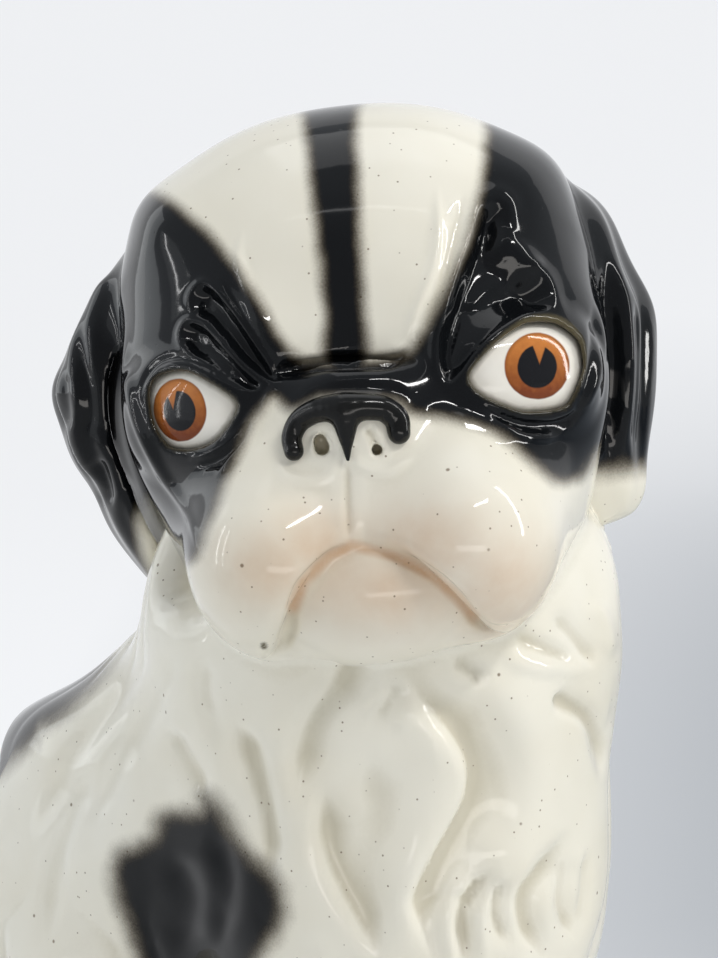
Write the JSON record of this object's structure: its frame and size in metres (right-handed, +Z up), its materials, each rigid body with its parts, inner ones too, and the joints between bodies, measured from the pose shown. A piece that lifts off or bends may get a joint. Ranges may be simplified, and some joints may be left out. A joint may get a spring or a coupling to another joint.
{
  "type": "ceramic dog figurine",
  "caption": "Seated toy spaniel statuette in glazed earthenware, hollow cast, with its head turned over one shoulder, hanging ears, bulging eyes and a flat seat to stand on.",
  "frame": {"origin": "middle of the flat seat under the body, on the surface that the figure stands on", "axes": "+Z up, the chest faces -Y, +X to the dog's left; the head is turned 45 degrees to the dog's right"},
  "size_m": [0.1773, 0.2504, 0.3301],
  "materials": {
    "body_glaze": "gloss",
    "head_glaze": "gloss",
    "ear_glaze": "gloss",
    "eye_glaze": "gloss",
    "nose_glaze": "gloss",
    "limb_glaze": "gloss"
  },
  "bodies": {
    "root": {"body": "body_glaze", "head": "head_glaze", "ear_left": "ear_glaze", "ear_right": "ear_glaze", "eye_left": "eye_glaze", "eye_right": "eye_glaze", "nose": "nose_glaze", "foreleg_left": "limb_glaze", "foreleg_right": "limb_glaze", "hind_paw_left": "limb_glaze", "hind_paw_right": "limb_glaze", "tail": "limb_glaze"}
  },
  "joints": []
}
